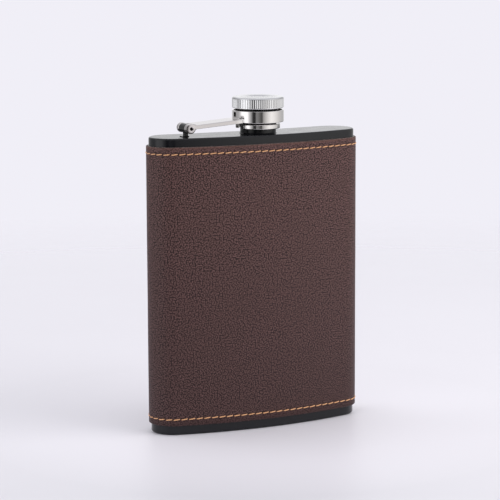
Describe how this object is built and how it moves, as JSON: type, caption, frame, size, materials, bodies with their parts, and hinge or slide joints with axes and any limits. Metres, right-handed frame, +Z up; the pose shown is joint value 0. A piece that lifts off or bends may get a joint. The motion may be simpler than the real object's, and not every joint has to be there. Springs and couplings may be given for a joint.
{
  "type": "hip flask",
  "caption": "Curved pocket flask in black steel with a stitched brown leather wrap and a knurled screw cap held captive on a hinged arm.",
  "frame": {"origin": "middle of the bounding box on the plane the flask stands on", "axes": "+Z up out of the mouth, +Y from the convex front to the hollow back, -X towards the end with the hinge"},
  "size_m": [0.0992, 0.0272, 0.1427],
  "materials": {
    "black_steel": "satin black powder coat over stainless steel",
    "chrome": "mirror polished",
    "black_plastic": "black moulded plastic",
    "leather": "fine pebbled grain, satin, dark brown",
    "lining": "thin dark felted backing",
    "adhesive": "clear adhesive film",
    "thread": "waxed orange-tan sewing thread",
    "seal": "soft translucent white seal disc"
  },
  "bodies": {
    "flask": {"body_tube": "black_steel", "top_pan": "black_steel", "bottom_pan": "black_steel", "neck": "black_steel", "hinge_post": "black_steel", "adhesive_film": "adhesive", "wrap_lining": "lining", "leather_wrap": "leather", "top_stitching": "thread", "bottom_stitching": "thread", "seam_stitching": "thread"},
    "arm": {"arm_bracket": "chrome", "hinge_pin": "chrome"},
    "cap": {"cap_shell": "chrome", "cap_insert": "black_plastic", "retaining_ring": "chrome", "cap_seal": "seal"}
  },
  "joints": [
    {"name": "arm_hinge", "type": "hinge", "parent": "flask", "child": "arm", "pos_m": [-0.033, -0.0011, 0.1306], "axis": [0, -1, 0], "range_deg": [0, 180]},
    {"name": "cap_spin", "type": "hinge", "parent": "arm", "child": "cap", "pos_m": [0.0009, -0.0011, 0.134], "axis": [0, 0, 1], "continuous": true}
  ]
}
